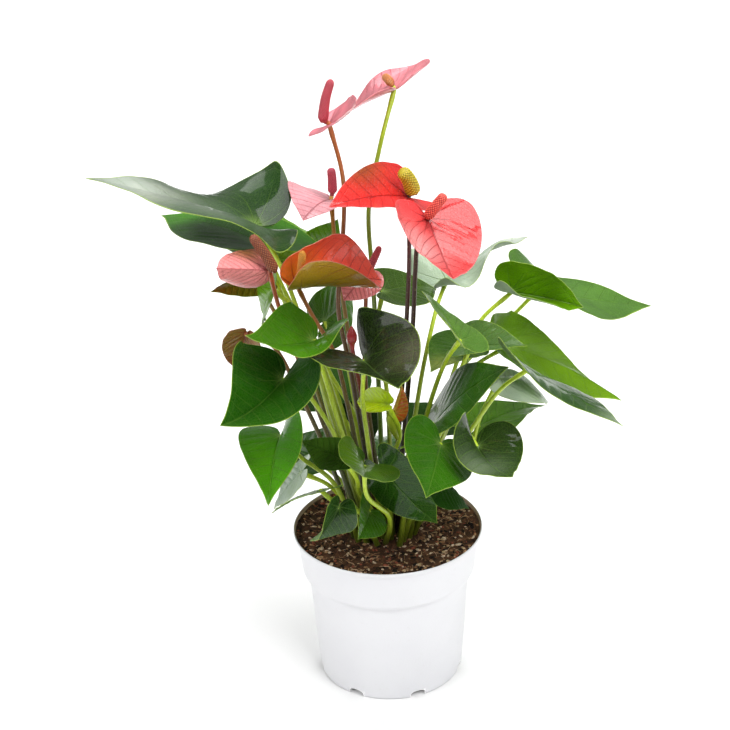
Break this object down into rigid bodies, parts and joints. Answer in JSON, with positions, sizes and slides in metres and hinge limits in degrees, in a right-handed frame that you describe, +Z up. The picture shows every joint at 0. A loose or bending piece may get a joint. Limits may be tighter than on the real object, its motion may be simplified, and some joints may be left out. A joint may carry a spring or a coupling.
{
  "type": "potted flowering plant",
  "caption": "Anthurium with glossy heart-shaped leaves, coral and pink spathes with knobbly spadices, growing from dark soil in a white tapered nursery pot",
  "frame": {"origin": "centre of the pot's base, on the face that the pot stands on", "axes": "+Z is up, along the pot's axis and the longest extent; -Y faces the viewer of the picture; +X is to the viewer's right"},
  "size_m": [0.4953, 0.3832, 0.5664],
  "materials": {
    "pot_plastic": "smooth satin white plastic",
    "potting_soil": null,
    "leaf_skin": null,
    "young_leaf_skin": null,
    "bloom_coral": null,
    "bloom_pale": null,
    "bloom_aged": null,
    "spadix_florets": null,
    "bud_skin": null
  },
  "bodies": {
    "root": {"pot": "pot_plastic", "soil": "potting_soil", "leaf_01": "leaf_skin", "leaf_02": "leaf_skin", "leaf_03": "leaf_skin", "leaf_04": "leaf_skin", "leaf_05": "leaf_skin", "leaf_06": "leaf_skin", "leaf_07": "leaf_skin", "leaf_08": "leaf_skin", "leaf_09": "leaf_skin", "leaf_10": "leaf_skin", "leaf_11": "leaf_skin", "leaf_12": "leaf_skin", "leaf_13": "leaf_skin", "leaf_14": "leaf_skin", "leaf_15": "leaf_skin", "leaf_16": "leaf_skin", "leaf_17": "leaf_skin", "leaf_18": "leaf_skin", "leaf_19": "leaf_skin", "leaf_20": "leaf_skin", "leaf_21": "leaf_skin", "leaf_22": "leaf_skin", "leaf_23": "leaf_skin", "leaf_24": "leaf_skin", "leaf_25": "leaf_skin", "leaf_26": "leaf_skin", "leaf_27": "leaf_skin", "leaf_28": "leaf_skin", "leaf_29": "leaf_skin", "leaf_32": "leaf_skin", "leaf_33": "leaf_skin", "leaf_34": "leaf_skin", "leaf_35": "leaf_skin", "leaf_36": "leaf_skin", "leaf_37": "leaf_skin", "leaf_38": "leaf_skin", "leaf_39": "leaf_skin", "young_leaves": "young_leaf_skin", "young_shoot": "young_leaf_skin", "bloom_01": "bloom_pale", "bloom_02": "bloom_pale", "bloom_03": "bloom_coral", "bloom_04": "bloom_coral", "bloom_05": "bloom_coral", "bloom_06": "bloom_coral", "bloom_07": "bloom_coral", "bloom_08": "bloom_pale", "bloom_09": "bloom_aged", "spadix_01": "spadix_florets", "spadix_02": "spadix_florets", "spadix_03": "spadix_florets", "spadix_04": "spadix_florets", "spadix_05": "spadix_florets", "spadix_06": "spadix_florets", "spadix_07": "spadix_florets", "spadix_08": "spadix_florets", "bloom_bud": "bud_skin"}
  },
  "joints": []
}
